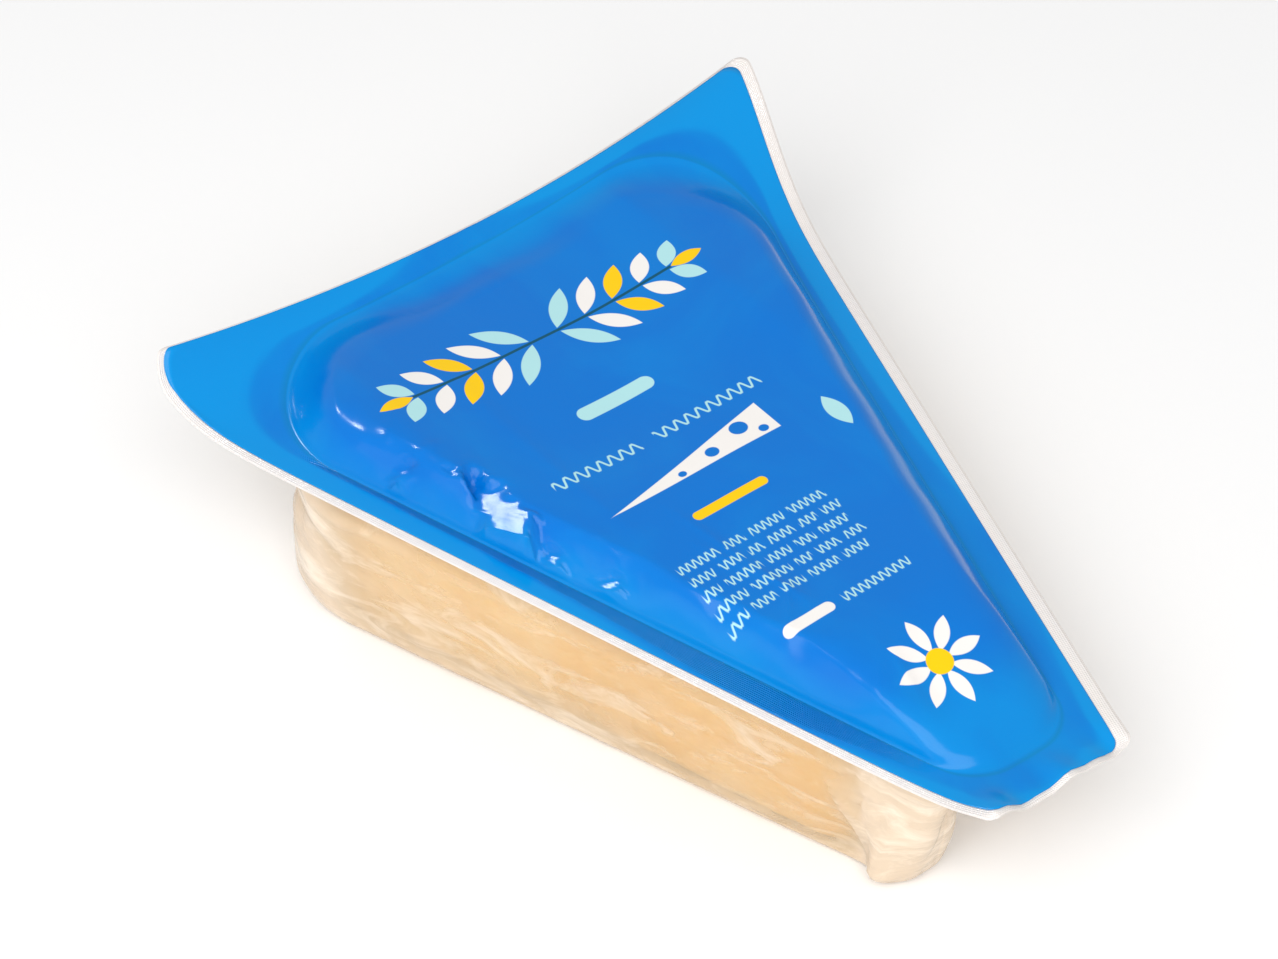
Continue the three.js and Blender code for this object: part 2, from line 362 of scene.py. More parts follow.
def on_spine(points):
    """The nearest of the even steps down the middle line, where a film's rings close."""
    start, end = np.array(SPINE, float)
    along = end - start
    t = np.clip((points - start) @ along / (along @ along), 0, 1)
    return start + (np.rint(t * SPINE_STEPS) / SPINE_STEPS)[:, None] * along


# ---------------------------------------------------------------- the lid film


SEAL_RINGS = 16
SLOPE_RINGS = 40
TOP_RINGS = 34
RIB_HEIGHT = 0.07
RIB_PITCH = 1.25

# Taut patches on the near slope: middle, reach each way, and turn in degrees.
FACETS = [
    ([-47.0, -56.5], [2.0, 2.4], 0),
    ([-36.5, -50.5], [2.6, 2.0], 20),
    ([-21.5, -49.0], [12.0, 4.2], -6),
    ([-8.0, -46.0], [3.2, 1.8], 10),
    ([6.0, -41.0], [3.0, 1.6], 20),
]
FACET_NORMAL = (-0.06, -0.476, 0.877)
SEAL_CLEAR = 1.0           # a taut patch stays this far above the seal

# Hollows of the near slope, where no cheese lies under the film: middle as (along, inwards), reach, depth.
LID_HOLLOWS = [
    ((88, 10), (11, 5), 1.3),
    ((60, 10), (7, 5), 0.9),
    ((112, 9), (12, 4), 1.0),
    ((172, 11), (12, 6), 1.1),
]

# Creases of the lid: start and end as (along, inwards), height, width.
LID_CREASES = [
    ((74, 17), (96, 7), 0.7, 1.3),
    ((74, 17), (79, 7), 0.6, 1.1),
    ((79, 10), (92, 10), 0.5, 0.9),
    ((50, 24), (56, 9), 0.45, 1.3),
    ((66, 18), (60, 8), 0.4, 1.2),
    ((96, 12), (112, 8), 0.45, 1.1),
    ((108, 16), (124, 8), 0.4, 1.4),
    ((160, 11), (148, 30), 0.45, 1.0),
    ((118, 30), (160, 22), 0.4, 1.6),
    ((128, 24), (158, 24), 0.35, 1.3),
    ((176, 22), (182, 10), 0.4, 1.1),
    ((176, 22), (192, 14), 0.35, 1.1),
    ((170, 6), (182, 8.2), 0.5, 0.8),
    ((30, 26), (42, 12), 0.4, 1.4),
    ((46, 40), (118, 19), 0.35, 2.4),
]


def lid_plan():
    """Rings of plan points from the lid's edge to its middle, with how far each is along its stretch."""
    edge = outline(lid_quad, LID_RADII)
    inside = outline(inset(lid_quad, SEAL_WIDTHS), SEAL_RADII)
    crest = outline(inset(lid_quad, CREST_WIDTHS), CREST_RADII)
    spine = on_spine(crest)
    band = blend_rings(edge, inside, np.linspace(0, 1, SEAL_RINGS))
    t = np.linspace(0, 1, SLOPE_RINGS + 1)[1:, None, None]
    slope = inside + (crest - inside) * t
    top = blend_rings(crest, spine, np.linspace(0, 1, TOP_RINGS + 1)[1:])
    plan = np.concatenate([band, slope, top])
    climb = np.concatenate([np.zeros(SEAL_RINGS), t.ravel(), np.ones(TOP_RINGS)])
    outside_seal = np.linalg.norm(plan - inside, axis=2)
    outside_seal[SEAL_RINGS:] = 0
    depth = np.linalg.norm(plan - edge, axis=2)
    return plan, climb[:, None] * np.ones(STATIONS), outside_seal, depth


def top_dish(x, y):
    """The top sinks a little down its middle, most at the wide end."""
    across = (y - PRINT_AXIS) / 40
    return 2.6 * np.minimum(across ** 2, 1.2) * smooth((10 - x) / 60) - 0.9


def lid_relief(x, y, climb):
    """What the vacuum does to the film over the cheese and its shoulder, in millimetres."""
    along, inwards = along_near_edge(x, y)
    slope = np.sin(np.clip(climb, 0, 1) * math.pi)
    off_seal = smooth(climb / 0.3)
    near = smooth((34 - inwards) / 20) * smooth((along - 20) / 30) * smooth((205 - along) / 20)
    top = (0.28 * ripples(3, 46)(x, y) + top_dish(x, y)) * smooth(climb * 1.4)
    puckers = slope * near * (0.5 * ripples(11, 17)(x * 0.7 + y * 0.2, y * 1.1) + 0.3 * folds(21, 22)(x, y))
    everywhere = slope * 0.3 * ripples(31, 24)(x, y)
    hollow = sum(dent(along, inwards, *place) for place in LID_HOLLOWS)
    lines = sum(crease(along, inwards, *fold) for fold in LID_CREASES)
    return top + off_seal * (puckers + everywhere + hollow * (0.4 + 0.6 * slope) + lines)


def seal_ribs(outside_seal, x):
    """Fine ribs that the sealing tool leaves round the back corners and the back edge."""
    band = smooth(outside_seal / 0.6) * smooth((6.5 - outside_seal) / 0.8)
    back = smooth((lid_back + 42 - x) / 20)
    return RIB_HEIGHT * band * back * np.sin(outside_seal * math.tau / RIB_PITCH)


def lid_height(x, y, climb):
    rim = edge_height(x, y)
    eased = np.sin(np.clip(climb, 0, 1) * math.pi / 2) * smooth(climb / 0.12)
    height = rim + (LID_TOP - rim) * eased + lid_relief(x, y, climb)
    for middle, reach, turn in FACETS:
        height = with_facet(x, y, height, middle, reach, turn)
    return height


def with_facet(x, y, height, middle, reach, turn):
    """Pulls the film flat over a small patch that faces the sky, as taut film does between creases."""
    dx, dy = x - middle[0], y - middle[1]
    c, s = math.cos(math.radians(turn)), math.sin(math.radians(turn))
    across, down = (dx * c + dy * s) / reach[0], (dy * c - dx * s) / reach[1]
    ragged = 0.45 * ripples(71, 10)(x, y) + 0.35 * ripples(72, 5)(x, y)
    weight = smooth(1.9 - 1.4 * (np.abs(across) ** 1.5 + np.abs(down) ** 1.5) - 0.25 * across + ragged)
    weight = weight * (height > SEAL_CLEAR + seal_height(x))
    total = np.sum(weight)
    if total == 0:
        return height
    plane = -(FACET_NORMAL[0] * dx + FACET_NORMAL[1] * dy) / FACET_NORMAL[2]
    level = np.sum((height - plane) * weight) / total
    slack = 0.1 * folds(73, 9)(x, y) + 0.04 * ripples(74, 3.5)(x, y)
    return height + (plane + level + slack - height) * weight


def tip_waves(x, y):
    """The free edge beyond the seal wanders up and down at the tip."""
    reach = smooth((x - lid_tip + 9) / 9)
    return reach * (0.9 * np.sin(y * math.tau / 21 + 0.6) + 0.35 * np.sin(y * math.tau / 8.5))


def make_lid_film():
    plan, climb, outside_seal, depth = lid_plan()
    x, y = plan[..., 0], plan[..., 1]
    z = lid_height(x, y, climb) + seal_ribs(outside_seal, x) + tip_waves(x, y)
    rings = np.concatenate([plan, z[..., None]], axis=2)
    flap = smooth((outside_seal - 5) / 5)
    # Painted light: the slopes off the top and the band out past the seal are marked to be painted a lighter
    # blue than the top, most at the slope's foot and at the edge.
    painted_slope_light = np.where(climb > 0, 0.85 * (1 - smooth(climb * 1.15)), 0.62 + 0.38 * flap)
    seal = np.where(climb > 0, 0, smooth((6.4 - outside_seal) / 0.8))
    seal_line = np.exp(-(outside_seal / 0.5) ** 2) * (climb <= 0)
    piece = rolled_sheet("lid_film", rings, {"painted_slope_light": painted_slope_light, "seal": seal, "seal_line": seal_line}, depth)
    in_edit_mode(piece, lambda: bpy.ops.mesh.normals_make_consistent(inside=False))
    upright(piece)
    modify(piece, "SOLIDIFY", thickness=FILM_GAUGE * MM, offset=-1)
    return piece


def upright(piece, down=False):
    """Turns an open film's faces over if they look the wrong way."""
    total = sum(face.normal.z * face.area for face in piece.data.polygons)
    if (total < 0) != down:
        in_edit_mode(piece, bpy.ops.mesh.flip_normals)


# ---------------------------------------------------------------- the cheese


VOXEL = 1.3
LID_CLEARANCE = 0.5
LOOK_FROM = 20             # the height inside the cheese from which the lid is looked for


def kept_under(lid, points):
    """Lowers the points that would come through the lid film."""
    tree = BVHTree.FromObject(lid, bpy.context.evaluated_depsgraph_get())
    for point in points:
        if point[2] < LOOK_FROM + 10:
            continue
        start = Vector((point[0] * MM, point[1] * MM, LOOK_FROM * MM))
        hit, _, _, _ = tree.ray_cast(start, Vector((0, 0, 1)))
        if hit is not None:
            point[2] = min(point[2], hit.z / MM - LID_CLEARANCE)


def make_cheese(lid):
    """The block is worn back where the film bridges its back corner, and its faces are uneven."""
    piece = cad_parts["cheese_wedge"].copy()
    piece.data = piece.data.copy()
    bpy.context.scene.collection.objects.link(piece)
    piece.name = "cheese_block"
    piece.data.name = "cheese_block"
    piece.parent = None
    in_edit_mode(piece, lambda: bpy.ops.mesh.remove_doubles(threshold=1e-6))
    modify(piece, "REMESH", mode="VOXEL", voxel_size=VOXEL * MM)
    modify(piece, "SMOOTH", factor=0.6, iterations=6)
    points = coordinates(piece) / MM
    x, y, z = points.T
    middle = points.mean(axis=0)
    corner = cheese_quad[0] + np.array([12.0, 6.0])
    worn = 5.5 * np.exp(-np.hypot(x - corner[0], y - corner[1]) / 16)
    tip = 3.0 * smooth((x - (cheese_quad[1][0] - 14)) / 14)
    inwards = middle[:2] - points[:, :2]
    inwards /= np.linalg.norm(inwards, axis=1)[:, None]
    foot = 2.2 * smooth((15 - z) / 14) * smooth((lid_middle - y) / 10)
    uneven = 0.18 * (ripples(41, 19)(x + z * 0.7, y - z * 0.6) + ripples(43, 7)(x - z, y + z * 0.8))
    points[:, :2] += inwards * (worn + tip + foot + 0.35 + uneven)[:, None]
    kept_under(lid, points)
    place(piece, points * MM)
    return piece


# ---------------------------------------------------------------- the formed film


WALL_RINGS = 64
BASE_RINGS = 22
STRIP_RINGS = 5
SOLE = 0.03                # the sole just clears the table
FULL_GAP = 6               # the film is at its milkiest this far off the cheese
EAR_PLACE = [5.5, -1.5]    # from the cheese's near tip corner
EAR_REACH = [3.6, 3.8]
EAR_PULL = [-1.0, -6.2]
EAR_HEIGHT = 30


# Guiding rings of the pocket: how far in from the cheese's fit, how far the tip end is flared, and the
# height, which for the first two is how far below the seal.
NECK_LEVELS = [(0.6, 5, 6.5), (0.0, 4.5, 11)]
WALL_LEVELS = [(-0.3, 3, 20.0), (-0.2, 1, 9.0), (0.2, 0, 3.6), (1.5, 0, 0.9), (4.2, 0, SOLE)]

# Creases of the near wall: start and end as (along, height up), height, width.
WALL_CREASES = [
    ((20, 33), (34, 22), 0.6, 0.8),
    ((20, 31), (70, 27), 0.5, 1.3),
    ((44, 28), (86, 15), 0.4, 1.4),
    ((30, 12), (120, 7), 0.35, 1.6),
    ((64, 22), (70, 13), 0.6, 1.1),
    ((90, 19), (97, 10), 0.5, 1.1),
    ((174, 27), (190, 3), 1.5, 0.9),
    ((183, 36), (189, 6), 1.3, 0.8),
    ((187, 37), (190, 6), 1.1, 0.7),
    ((193, 34), (191, 6), 0.9, 0.9),
    ((187, 31), (195, 33), 0.6, 0.8),
    ((174, 27), (182, 30), 0.5, 0.8),
]


def formed_levels():
    """The formed film's guiding rings from the seal's inside down to the rim of its sole."""
    inside = outline(inset(lid_quad, SEAL_WIDTHS), SEAL_RADII)

    def at(points, height):
        return np.concatenate([points, np.broadcast_to(height, len(points))[:, None]], axis=1)

    levels = [at(inside, edge_height(*inside.T) - FILM_STEP)]
    for amount, flare, drop in NECK_LEVELS:
        points = pocket_outline(amount, flare)
        levels.append(at(points, seal_height(points[:, 0]) - drop))
    for amount, flare, height in WALL_LEVELS:
        levels.append(at(pocket_outline(amount, flare), height))
    return np.array(levels)


def through(levels, count):
    """Rings on a smooth curve through the guiding rings."""
    last = len(levels) - 1
    rings = []
    for t in np.linspace(0, last, count):
        i = min(int(t), last - 1)
        u = t - i
        a, b = levels[i], levels[i + 1]
        before, after = levels[max(i - 1, 0)], levels[min(i + 2, last)]
        slope_a, slope_b = (b - before) / 2, (after - a) / 2
        rings.append((2 * u ** 3 - 3 * u ** 2 + 1) * a + (u ** 3 - 2 * u ** 2 + u) * slope_a
                     + (3 * u ** 2 - 2 * u ** 3) * b + (u ** 3 - u ** 2) * slope_b)
    return np.array(rings)


def wall_wrinkles(rings):
    """How far the film stands off the smooth pocket wall, ring by ring."""
    x, y, z = np.moveaxis(rings, 2, 0)
    along, inwards = along_near_edge(x, y)
    side = np.linalg.norm(np.diff(rings[-1], axis=0, append=rings[-1][:1]), axis=1)
    way = np.cumsum(side)[None, :] * np.ones(z.shape)
    body = smooth(z / 5) * smooth((seal_height(x) - z) / 7)
    soft = 0.22 * ripples(51, 26)(way, z * 1.6)
    soft = soft + 0.12 * ripples(53, 9)(way, z * 2.2) * smooth((cheese_quad[1][0] - x) / 12)
    middle = np.exp(-(((z - 21 - 4 * np.sin(way / 23)) / 9) ** 2))
    cling = middle * smooth(ripples(57, 42)(way, z) + 0.7)
    crumple = cling * (0.6 * folds(55, 12, 10)(way * 0.8 + z * 0.5, z * 1.5) - 0.4)
    crumple = crumple + cling * 0.22 * folds(58, 5, 10)(way * 0.7 + z * 0.6, z * 1.4)
    tip = smooth((x - (cheese_quad[1][0] - 8)) / 10)
    gather = tip * (1.0 * folds(61, 16)(way * 1.4, z * 0.2) - 0.8 + 0.15 * folds(63, 10)(way * 1.2, z * 0.5))
    near = smooth((lid_middle - y) / 10)
    notch = -1.7 * np.exp(-(((z - 27) / 3.2) ** 2)) * smooth((44 - along) / 14)
    sag = 1.2 * np.exp(-(((z - 11) / 9) ** 2)) * smooth((60 - along) / 30)
    lines = sum(crease(along, z, *fold) for fold in WALL_CREASES)
    tuck = -1.6 * np.exp(-(((along - 180) / 6) ** 2)) * smooth((20 - z) / 16)
    return body * (soft + crumple + gather + near * (notch + sag + lines + tuck))


def tip_ear(rings):
    """Slack film at the tip's near corner is drawn out into a fold that reaches the table."""
    corner = cheese_quad[1] + np.array(EAR_PLACE)
    x, y, z = np.moveaxis(rings, 2, 0)
    reach = np.exp(-(((x - corner[0]) / EAR_REACH[0]) ** 2 + ((y - corner[1]) / EAR_REACH[1]) ** 2))
    low = smooth((EAR_HEIGHT - z) / EAR_HEIGHT)
    pull = np.zeros(rings.shape)
    pull[..., 0] = EAR_PULL[0] * reach * low
    pull[..., 1] = EAR_PULL[1] * reach * low
    return pull


def make_formed_film(cheese):
    edge = outline(lid_quad, LID_RADII)
    clear_edge = outline(inset(lid_quad, [-strip for strip in CLEAR_STRIPS]), CLEAR_RADII)
    inside = outline(inset(lid_quad, SEAL_WIDTHS), SEAL_RADII)
    strip = blend_rings(clear_edge, edge, np.linspace(0, 1, STRIP_RINGS + 1)[:-1])
    band = blend_rings(edge, inside, np.linspace(0, 1, SEAL_RINGS))[:-1]
    flange = np.concatenate([strip, band])
    x, y = flange[..., 0], flange[..., 1]
    z = edge_height(x, y) + tip_waves(x, y) - FILM_STEP
    flange = np.concatenate([flange, z[..., None]], axis=2)

    wall = through(formed_levels(), WALL_RINGS)
    tangent = np.roll(wall, -1, axis=1) - np.roll(wall, 1, axis=1)
    out = np.stack([tangent[..., 1], -tangent[..., 0]], axis=2)
    out /= np.maximum(np.linalg.norm(out, axis=2, keepdims=True), 1e-9)
    wall[..., :2] += out * wall_wrinkles(wall)[..., None]
    wall += tip_ear(wall)

    sole_rim = wall[-1]
    spine = on_spine(sole_rim[:, :2])
    spine = np.concatenate([spine, np.full((len(spine), 1), SOLE)], axis=1)
    sole = blend_rings(sole_rim, spine, np.linspace(0, 1, BASE_RINGS + 1)[1:])
    sole[..., 2] = SOLE

    rings = np.concatenate([flange, wall, sole])
    rings[..., 2] = np.maximum(rings[..., 2], SOLE)
    depth = np.linalg.norm(rings - rings[0], axis=2)
    strip_mark = np.zeros(rings.shape[:2])
    strip_mark[:STRIP_RINGS + SEAL_RINGS] = 1
    piece = rolled_sheet("formed_film", rings, {"strip": strip_mark}, depth)
    upright(piece, down=True)
    modify(piece, "SOLIDIFY", thickness=FILM_GAUGE * MM, offset=-1)
    gap_to(piece, cheese)
    return piece


def gap_to(piece, cheese):
    """Marks how far the film stands off the cheese, where it turns milky: 1 is the full gap or more."""
    tree = BVHTree.FromObject(cheese, bpy.context.evaluated_depsgraph_get())
    full = FULL_GAP * MM
    gaps = []
    for vertex in piece.data.vertices:
        hit = tree.find_nearest(vertex.co, full * 2)
        gaps.append(min(1.0, (hit[3] if hit[3] is not None else full) / full))
    mark(piece, "gap", np.array(gaps))


# ---------------------------------------------------------------- finishes


def srgb(red, green, blue):
    """A colour given as on a paint chart, 0 to 255, as linear light."""
    def linear(value):
        value /= 255
        return value / 12.92 if value <= 0.04045 else ((value + 0.055) / 1.055) ** 2.4
    return (linear(red), linear(green), linear(blue), 1.0)


class Amount:
    """A number that varies over a surface; sums of these add the nodes that work them out."""

    def __init__(self, finish, socket):
        self.finish = finish
        self.socket = socket

    def math(self, operation, *others):
        sockets = [self.socket] + [o.socket if isinstance(o, Amount) else o for o in others]
        node = self.finish.node("ShaderNodeMath", {"operation": operation}, dict(enumerate(sockets)))
        return Amount(self.finish, node.outputs[0])

    def __add__(self, other):
        return self.math("ADD", other)

    def __radd__(self, other):
        return self.math("ADD", other)

    def __sub__(self, other):
        return self.math("SUBTRACT", other)

    def __rsub__(self, other):
        return (self * -1) + other

    def __mul__(self, other):
        return self.math("MULTIPLY", other)

    def __rmul__(self, other):
        return self.math("MULTIPLY", other)

    def __truediv__(self, other):
        return self.math("DIVIDE", other)

    def __neg__(self):
        return self * -1

    def __abs__(self):
        return self.math("ABSOLUTE")

    def sin(self):
        return self.math("SINE")

    def cos(self):
        return self.math("COSINE")

    def root(self):
        return self.math("SQRT")

    def least(self, other):
        return self.math("MINIMUM", other)

    def most(self, other):
        return self.math("MAXIMUM", other)

    def clamped(self):
        """Keeps the last sum's result between 0 and 1."""
        self.socket.node.use_clamp = True
        return self


class Finish:
    """A material with one Principled shader, built up node by node."""

    def __init__(self, name, **settings):
        self.material = bpy.data.materials.new(name)
        self.material.use_nodes = True
        self.tree = self.material.node_tree
        self.shader = self.tree.nodes["Principled BSDF"]
        for socket, value in settings.items():
            self.shader.inputs[socket.replace("_", " ")].default_value = value

    def node(self, kind, settings, sockets):
        node = self.tree.nodes.new(kind)
        for name, value in settings.items():
            setattr(node, name, value)
        for key, value in sockets.items():
            if isinstance(value, Amount):
                value = value.socket
            if isinstance(value, bpy.types.NodeSocket):
                self.tree.links.new(value, node.inputs[key])
            else:
                node.inputs[key].default_value = value
        return node

    def into(self, socket, value):
        self.tree.links.new(value.socket if isinstance(value, Amount) else value, self.shader.inputs[socket])

    def place(self):
        """The Object coordinates, as a vector and as millimetres along X, Y and Z."""
        vector = self.node("ShaderNodeTexCoord", {}, {}).outputs["Object"]
        parts = self.node("ShaderNodeSeparateXYZ", {}, {0: vector}).outputs
        return vector, *(Amount(self, part) * 1000.0 for part in parts)

    def way(self):
        """The film's UV map, as millimetres round its edge and in from it."""
        vector = self.node("ShaderNodeUVMap", {"uv_map": "Way"}, {}).outputs[0]
        parts = self.node("ShaderNodeSeparateXYZ", {}, {0: vector}).outputs
        return Amount(self, parts[0]) * 1000.0, Amount(self, parts[1]) * 1000.0

    def marked(self, name):
        return Amount(self, self.node("ShaderNodeAttribute", {"attribute_name": name}, {}).outputs["Fac"])

    def noise(self, vector, scale, detail=3.0, roughness=0.5, distortion=0.0):
        sockets = {"Vector": vector, "Scale": scale, "Detail": detail, "Roughness": roughness,
                   "Distortion": distortion}
        return Amount(self, self.node("ShaderNodeTexNoise", {}, sockets).outputs["Fac"])

    def stretched(self, vector, scale):
        return self.node("ShaderNodeMapping", {}, {"Vector": vector, "Scale": scale}).outputs[0]

    def mix(self, amount, first, second):
        sockets = {0: amount, 6: first, 7: second}
        settings = {"data_type": "RGBA", "clamp_factor": True}
        return self.node("ShaderNodeMix", settings, sockets).outputs[2]

    def bump(self, height, distance, strength):
        sockets = {"Height": height, "Distance": distance * MM, "Strength": strength}
        return self.node("ShaderNodeBump", {}, sockets).outputs[0]


def ramp(amount, low, high):
    """0 below low, 1 above high, and straight between."""
    return ((amount - low) * (1 / (high - low))).clamped()


def knurled(finish):
    """The pattern of small lozenges that the sealing tool presses in, -1 to 1."""
    way_round, depth = finish.way()
    pitch = 6.0
    return (way_round * pitch + depth * pitch).sin() * (way_round * pitch - depth * pitch).sin()


def make_cheese_finish():
    finish = Finish("cheese", Roughness=0.42, Subsurface_Weight=0.3, Subsurface_Scale=0.005,
                    Specular_IOR_Level=0.35)
    finish.shader.inputs["Subsurface Radius"].default_value = (1.0, 0.6, 0.3)
    vector, _, _, _ = finish.place()
    patches = ramp(finish.noise(vector, 26, 4, 0.55, 0.5), 0.38, 0.62)
    body = finish.mix(patches, srgb(240, 206, 142), srgb(228, 182, 104))
    flecks = ramp(finish.noise(vector, 240, 2), 0.6, 0.75)
    body = finish.mix(flecks * 0.3, body, srgb(248, 230, 192))
    finish.into("Base Color", body)
    finish.into("Normal", finish.bump(finish.noise(vector, 130, 4), 0.5, 0.5))
    return finish.material


def make_formed_film_finish():
    """Clear over the cheese, milky where it stands off it, with whiter streaks along its wrinkles that are
    partly the whitening of creased film and partly painted highlight.
    """
    finish = Finish("clear_film", Roughness=0.17, Specular_IOR_Level=0.9)
    vector, _, _, _ = finish.place()
    gap = finish.marked("gap")
    strip = finish.marked("strip")
    streaks = finish.noise(finish.stretched(vector, (0.6, 1.0, 2.4)), 75, 5, 0.6, 0.8)
    # Partly painted highlight, partly the whitening of creased film: these streaks are painted whiter and
    # made less clear.
    crease_haze_and_glint = ramp(streaks, 0.5, 0.72)
    milk = ramp(gap, 0.14, 0.8)
    colour = finish.mix(milk, srgb(247, 219, 174), srgb(250, 228, 200))
    colour = finish.mix(crease_haze_and_glint * 0.6, colour, srgb(252, 240, 222))
    colour = finish.mix(strip, colour, srgb(255, 248, 243))
    finish.into("Base Color", colour)
    cover = (0.24 + milk * 0.44 + crease_haze_and_glint * 0.26).most(strip * 0.92)
    finish.into("Alpha", (cover * 1.0).clamped())
    knurl = knurled(finish) * strip
    crinkle = finish.noise(finish.stretched(vector, (1.0, 1.0, 1.6)), 220, 4, 0.6, 1.0)
    finish.into("Normal", finish.bump(knurl * 0.3 + crinkle * 1.1 + streaks * 0.8, 0.3, 0.8))
    return finish.material


# ---------------------------------------------------------------- the print on the lid


INK_EDGE = 5.0             # how crisp the print's edges are, per millimetre
BLUE = srgb(0, 116, 208)
# The next two blues are painted light, laid over the lid's slopes and edge band.
LIGHT_BLUE = srgb(0, 140, 216)
CYAN = srgb(0, 152, 224)
TEAL_LINE = srgb(0, 128, 170)
WHITE = srgb(244, 240, 236)
AQUA = srgb(178, 226, 230)
YELLOW = srgb(253, 205, 8)
TEAL = srgb(0, 82, 108)

# Places on the lid, in millimetres down from its middle.
SPRIG_ROW = -62.0
BAR_ROW = -36.0
HEADING_ROW = -20.5
PICTURE_ROW = -9.8
YELLOW_BAR_ROW = 5.6
TEXT_ROW = 16.2
TEXT_PITCH = 4.4
TEXT_LINES = 5
LAST_ROW = 43.8
SPRIG_REACH = 37.0         # half the length of the sprig's stem
SPRIG_SLANT = 50


class Print:
    """Ink shapes laid over one another on the lid, in millimetres across and down from the back."""

    def __init__(self, finish, across, down, ground):
        self.finish = finish
        self.across = across
        self.down = down
        self.colour = ground

    def ink(self, inside, colour):
        """Lays a colour where inside, a distance in from the shape's edge in millimetres, is positive."""
        self.colour = self.finish.mix((inside * INK_EDGE + 0.5).clamped(), self.colour, colour)

    def local(self, across, down, angle=0):
        """The place relative to a point, with the first axis turned by an angle in degrees."""
        c, s = math.cos(math.radians(angle)), math.sin(math.radians(angle))
        u, v = self.across - across, self.down - down
        if angle == 0:
            return u, v
        return u * c + v * s, v * c - u * s

    def oval(self, across, down, wide, high):
        u, v = self.local(across, down)
        share_across, share_down = u * (1 / wide), v * (1 / high)
        reach = (share_across * share_across + share_down * share_down).root()
        return (1 - reach) * min(wide, high)

    def leaf(self, across, down, length, wide, angle):
        """A leaf with two points."""
        u, v = self.local(across, down, angle)
        share = u * (2 / length)
        return (1 - share * share) * (wide / 2) - abs(v)

    def bar(self, across, down, wide, high):
        """A bar with round ends."""
        u, v = self.local(across, down)
        past = (abs(u) - (wide - high) / 2).most(0.0)
        return high / 2 - (past * past + v * v).root()

    def scribble(self, down, height, pitch, stroke, spans):
        """A wavy line in place of words, given by where each word starts and ends."""
        row = None
        for start, end in spans:
            word = (end - start) / 2 - abs(self.across - (start + end) / 2)
            row = word if row is None else row.most(word)
        turn = math.tau / pitch
        wave = (self.across * turn).sin() * (height / 2)
        rise = (self.across * turn).cos() * (height / 2 * turn)
        off = abs(self.down - down - wave) / (rise * rise + 1).root()
        return row.least(stroke / 2 - off)


def word_spans(rng, start, end, shortest=3.0, longest=11.0, space=1.7):
    spans = []
    while start < end - shortest:
        stop = min(end, start + rng.uniform(shortest, longest))
        spans.append((start, stop))
        start = stop + space
    return spans


def print_sprig(art, down):
    """An even sprig of plain leaves across the wide end."""
    out, up = math.cos(math.radians(SPRIG_SLANT)), math.sin(math.radians(SPRIG_SLANT))
    art.ink((SPRIG_REACH - abs(art.across)).least(0.4 - abs(art.down - down)), TEAL)
    for side in (-1, 1):
        for pair, colour in enumerate((AQUA, WHITE, YELLOW, WHITE, AQUA)):
            length = 14.0 - 1.3 * pair
            stalk = side * (3.5 + 8.0 * pair)
            for way in (-1, 1):
                reach = length / 2 + 0.9
                centre = (stalk + side * out * reach, down + way * up * reach)
                art.ink(art.leaf(*centre, length, 4.4, side * way * SPRIG_SLANT), colour)
        art.ink(art.leaf(side * (SPRIG_REACH + 4.5), down, 9.0, 3.6, 0), YELLOW)


def print_wedge_picture(art, down):
    """A small picture of a wedge of cheese with round holes, where a name would be."""
    u, v = art.local(0, down)
    upper = v - 4.4 + (u + 25) * 0.2
    art.ink((22.5 - u).least(4.4 - v).least(upper * 0.98), WHITE)
    for across, drop, radius in ((14.5, -0.8, 2.0), (5.0, 1.6, 1.5), (19.0, 2.6, 1.1), (-4.5, 3.0, 0.9)):
        art.ink(art.oval(across, down + drop, radius * 1.15, radius), BLUE)


def print_daisy(art, across, down):
    """An even daisy near the tip."""
    for angle in range(0, 360, 45):
        c, s = math.cos(math.radians(angle)), math.sin(math.radians(angle))
        art.ink(art.leaf(across + 6.8 * c, down + 6.8 * s, 8.8, 3.4, angle), WHITE)
    art.ink(art.oval(across, down, 3.0, 3.0), YELLOW)


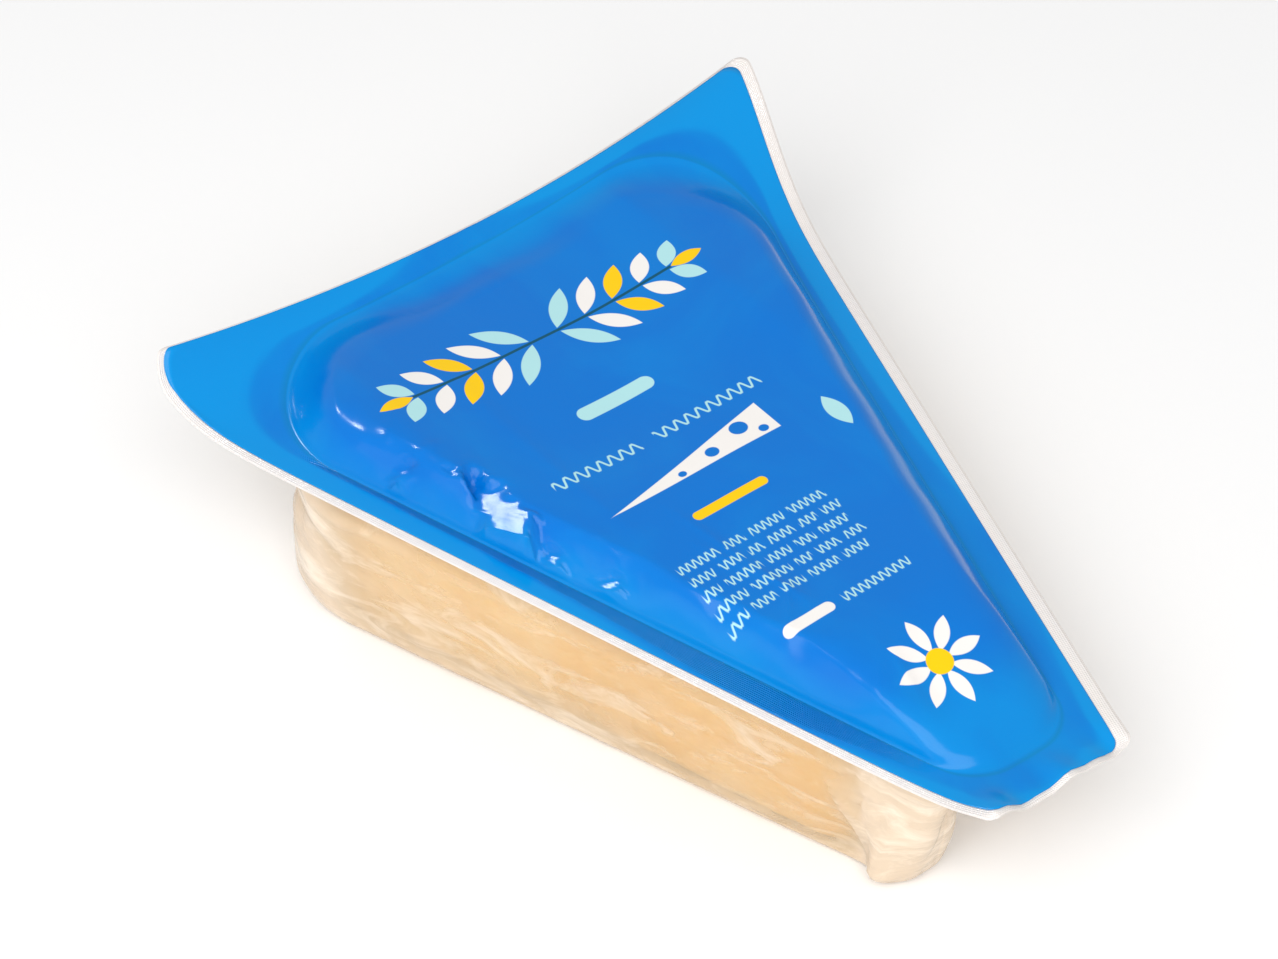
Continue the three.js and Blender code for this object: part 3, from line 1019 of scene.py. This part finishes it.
def make_lid_finish():
    finish = Finish("printed_film", Specular_IOR_Level=0.22)
    vector, x, y, _ = finish.place()
    painted_slope_light = finish.marked("painted_slope_light")
    cloud = finish.noise(finish.stretched(vector, (1.0, 1.4, 0.3)), 20, 4, 0.55, 0.8)
    ground = finish.mix(ramp(cloud, 0.46, 0.66) * 0.4, BLUE, srgb(0, 134, 216))
    # Painted light: lighter blue and then cyan over the slopes and the edge band, standing in for how light
    # falls on the tilted film.
    ground = finish.mix(ramp(painted_slope_light + (cloud - 0.5) * 1.2, 0.25, 0.9) * 0.8, ground, LIGHT_BLUE)
    ground = finish.mix(ramp(painted_slope_light, 0.8, 1.0) * 0.6, ground, CYAN)
    ground = finish.mix(finish.marked("seal_line") * 0.45, ground, TEAL_LINE)
    art = Print(finish, y - PRINT_AXIS, x, ground)
    rng = np.random.default_rng(8)
    print_sprig(art, SPRIG_ROW)
    art.ink(art.bar(0, BAR_ROW, 21.0, 4.2), AQUA)
    art.ink(art.scribble(HEADING_ROW, 2.6, 3.1, 0.55, [(-29.4, -5.5), (-1.0, 28.5)]), AQUA)
    print_wedge_picture(art, PICTURE_ROW)
    art.ink(art.bar(-1.2, YELLOW_BAR_ROW, 20.5, 2.6), YELLOW)
    for line in range(TEXT_LINES):
        spans = word_spans(rng, -24.5, rng.uniform(17.5, 22))
        art.ink(art.scribble(TEXT_ROW + TEXT_PITCH * line, 1.9, 1.75, 0.42, spans), AQUA)
    art.ink(art.bar(-11.5, LAST_ROW, 13.5, 3.0), WHITE)
    art.ink(art.scribble(LAST_ROW, 2.0, 1.9, 0.45, [(-2.0, 16.5)]), AQUA)
    art.ink(art.leaf(35.7, -1.7, 11.0, 4.6, 90), AQUA)
    print_daisy(art, 3.5, 68.2)
    finish.into("Base Color", art.colour)
    wear = finish.noise(vector, 60, 4)
    finish.into("Roughness", 0.12 + wear * 0.12)
    knurl = knurled(finish)
    along_side = ramp(x, -75, -35) * ramp(-x, -85, -60) * finish.marked("seal") * ramp(-y, -5, 10)
    fine = finish.noise(vector, 90, 3, 0.5, 0.3)
    finish.into("Normal", finish.bump(knurl * along_side * 1.2 + fine * 0.9, 0.3, 0.6))
    return finish.material


# ---------------------------------------------------------------- table, light and camera


def make_table():
    bpy.ops.object.select_all(action="DESELECT")
    bpy.ops.mesh.primitive_plane_add(size=6, location=(0, 0, 0))
    table = bpy.context.object
    table.name = "table"
    finish = Finish("table", Roughness=0.9, Specular_IOR_Level=0.1)
    vector, _, _, _ = finish.place()
    shade = finish.noise(vector, 4) * 0.2
    finish.into("Base Color", finish.mix(shade, srgb(255, 255, 255), srgb(252, 252, 252)))
    table.data.materials.append(finish.material)


def add_softbox(name, position, target, size, power, for_shine=False):
    light = bpy.data.lights.new(name, "AREA")
    light.shape = "RECTANGLE"
    light.size, light.size_y = size
    light.energy = power
    lamp = bpy.data.objects.new(name, light)
    lamp.visible_diffuse = not for_shine
    bpy.context.scene.collection.objects.link(lamp)
    lamp.location = position
    lamp.rotation_euler = (Vector(target) - Vector(position)).to_track_quat("-Z", "Y").to_euler()


def light_the_scene():
    add_softbox("front_top", (0.60, -0.70, 1.05), (0, 0, 0.03), (1.4, 1.0), 14.0)
    add_softbox("front_low", (0.05, -1.00, 0.30), (0, 0, 0.03), (0.7, 0.3), 0.5)
    add_softbox("glint", (-0.63, -0.31, 0.70), (0, 0, 0.04), (0.16, 0.16), 3.6, for_shine=True)
    world = bpy.data.worlds.new("studio")
    world.use_nodes = True
    background = world.node_tree.nodes["Background"]
    background.inputs["Color"].default_value = (1.0, 1.0, 1.0, 1.0)
    background.inputs["Strength"].default_value = 0.6
    bpy.context.scene.world = world
    bpy.context.scene.view_settings.view_transform = "Standard"


CAMERA_TURN = 51.31
CAMERA_LIFT = 43.08
CAMERA_DISTANCE = 0.858
CAMERA_AIM = (-0.0530, 0.0137, 0.0)
CAMERA_LENS = 101.4


def add_camera():
    camera = bpy.data.objects.new("camera", bpy.data.cameras.new("camera"))
    bpy.context.scene.collection.objects.link(camera)
    turn, lift = math.radians(CAMERA_TURN), math.radians(CAMERA_LIFT)
    back = Vector((math.sin(turn) * math.cos(lift), -math.cos(turn) * math.cos(lift), math.sin(lift)))
    camera.location = Vector(CAMERA_AIM) + back * CAMERA_DISTANCE
    camera.rotation_euler = back.to_track_quat("Z", "Y").to_euler()
    camera.data.lens = CAMERA_LENS
    camera.data.sensor_width = 36
    camera.data.clip_end = 20
    bpy.context.scene.camera = camera


add_camera()
light_the_scene()
make_table()
lid_film = make_lid_film()
cheese = make_cheese(lid_film)
formed_film = make_formed_film(cheese)
finished(cheese, "cheese", make_cheese_finish(), "cheese_wedge")
finished(formed_film, "clear_film", make_formed_film_finish(), "bottom_film")
finished(lid_film, "printed_film", make_lid_finish(), "top_film")
